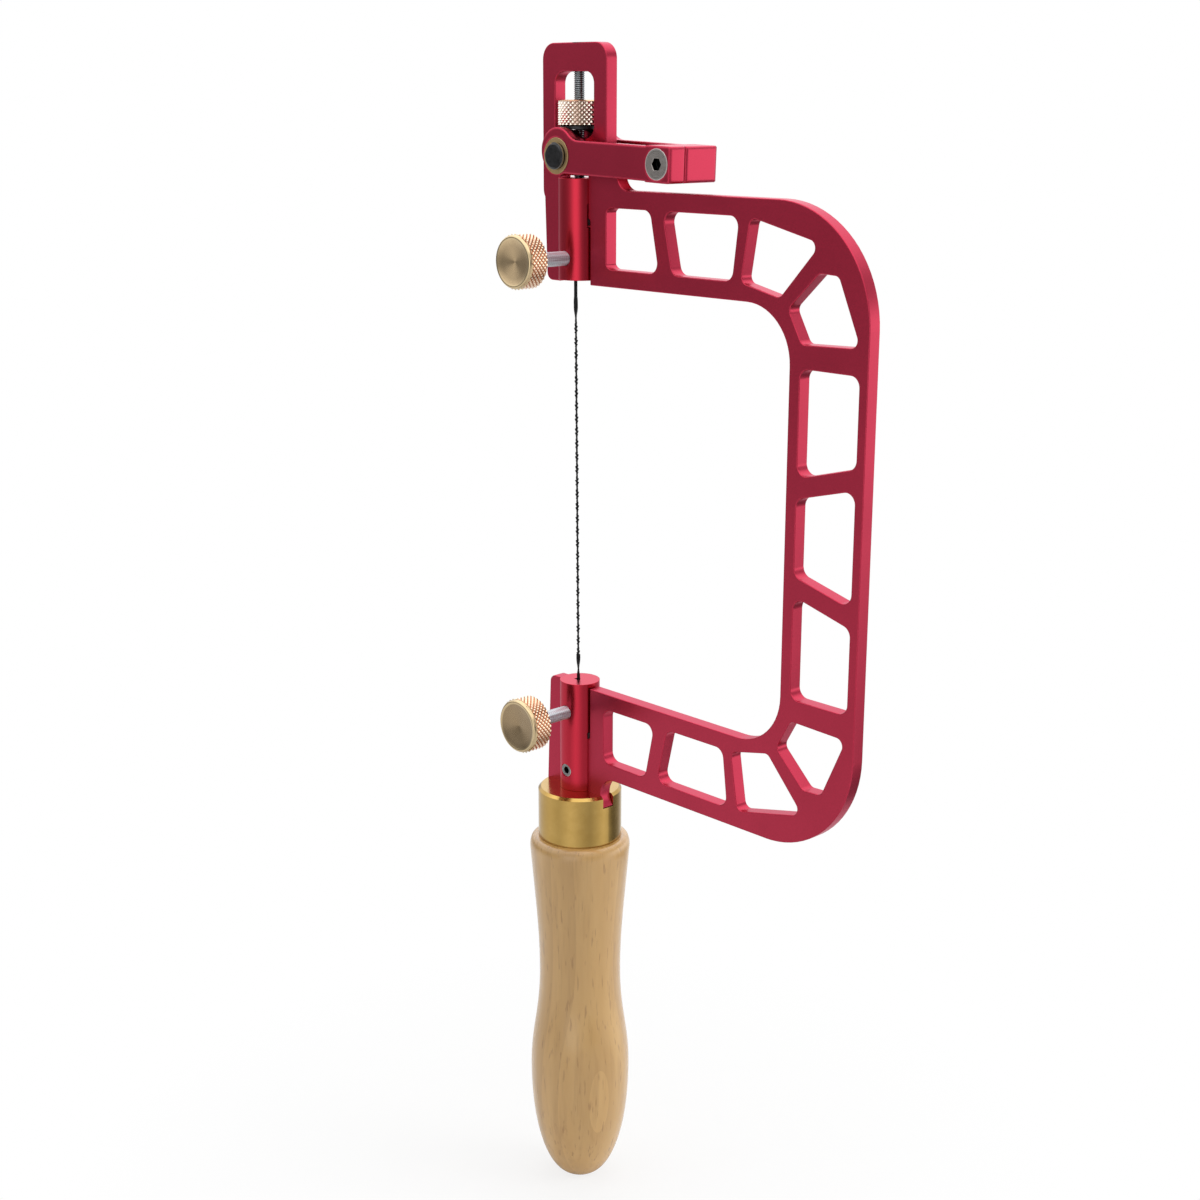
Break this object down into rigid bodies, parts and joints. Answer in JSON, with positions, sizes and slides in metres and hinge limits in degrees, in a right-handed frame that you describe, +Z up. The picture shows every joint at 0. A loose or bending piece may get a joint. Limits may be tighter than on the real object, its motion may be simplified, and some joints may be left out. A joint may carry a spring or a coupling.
{
  "type": "fret saw",
  "caption": "Hand fret saw with a skeletonised C-shaped plate frame, a spiral blade held by knurled screw clamps, a cam lever that tensions it, and a turned wooden handle.",
  "frame": {"origin": "middle of the handle's butt, on the handle's axis", "axes": "+Z up the handle towards the tension tower, +X from the blade towards the frame's spine, -Y the side that the clamp knobs face"},
  "size_m": [0.1202, 0.04, 0.3439],
  "materials": {
    "red_anodised": "satin anodised",
    "varnished_wood": "gloss varnish",
    "brass": "turned and polished",
    "bronze": "turned",
    "bright_steel": "bright",
    "black_steel": "black oxide"
  },
  "bodies": {
    "saw_frame": {"frame": "red_anodised", "handle": "varnished_wood", "ferrule": "brass", "handle_stud": "bright_steel", "handle_insert": "brass", "lower_post": "red_anodised", "lower_post_set_screw": "bright_steel", "lower_dowel": "black_steel", "upper_dowel": "black_steel", "pivot_pin": "black_steel", "retaining_clips": "bright_steel", "guide_bush": "brass", "blade": "black_steel"},
    "lever": {"lever_near_arm": "red_anodised", "lever_far_arm": "red_anodised", "lever_screw": "bright_steel", "near_pivot_bush": "bronze", "far_pivot_bush": "bronze"},
    "washer": {"thrust_washer": "black_steel"},
    "nut": {"tension_nut": "brass"},
    "upper_clamp": {"upper_post": "red_anodised", "tension_rod": "bright_steel"},
    "upper_pad": {"upper_clamp_pad": "bright_steel"},
    "upper_knob": {"upper_clamp_screw": "bright_steel", "upper_clamp_knob": "brass"},
    "lower_pad": {"lower_clamp_pad": "bright_steel"},
    "lower_knob": {"lower_clamp_screw": "bright_steel", "lower_clamp_knob": "brass"}
  },
  "joints": [
    {"name": "tension_lever", "type": "hinge", "parent": "saw_frame", "child": "lever", "pos_m": [0, 0, 0.3141], "axis": [0, -1, 0], "range_deg": [0, 100]},
    {"name": "cam_drop", "type": "slide", "parent": "saw_frame", "child": "washer", "axis": [0, 0, -1], "range_m": [0, 0.0018]},
    {"name": "tension_nut", "type": "hinge", "parent": "washer", "child": "nut", "pos_m": [0, 0, 0.3241], "axis": [0, 0, -1], "range_deg": [-1440, 216]},
    {"name": "post_travel", "type": "slide", "parent": "washer", "child": "upper_clamp", "axis": [0, 0, 1], "range_m": [-0.002, 0.0003]},
    {"name": "upper_pad_travel", "type": "slide", "parent": "upper_clamp", "child": "upper_pad", "axis": [0, -1, 0], "range_m": [0, 0.0014]},
    {"name": "upper_knob_turn", "type": "hinge", "parent": "upper_pad", "child": "upper_knob", "pos_m": [0, -0.02, 0.2864], "axis": [0, -1, 0], "range_deg": [0, 720]},
    {"name": "lower_pad_travel", "type": "slide", "parent": "saw_frame", "child": "lower_pad", "axis": [0, -1, 0], "range_m": [0, 0.0014]},
    {"name": "lower_knob_turn", "type": "hinge", "parent": "lower_pad", "child": "lower_knob", "pos_m": [0, -0.02, 0.154], "axis": [0, -1, 0], "range_deg": [0, 720]}
  ],
  "couplings": [
    {"joint": "tension_lever", "follows": "cam_drop", "rad_per_m": 969.62},
    {"joint": "tension_nut", "follows": "post_travel", "rad_per_m": 12566},
    {"joint": "upper_knob_turn", "follows": "upper_pad_travel", "rad_per_m": 8975.9},
    {"joint": "lower_knob_turn", "follows": "lower_pad_travel", "rad_per_m": 8975.9}
  ]
}
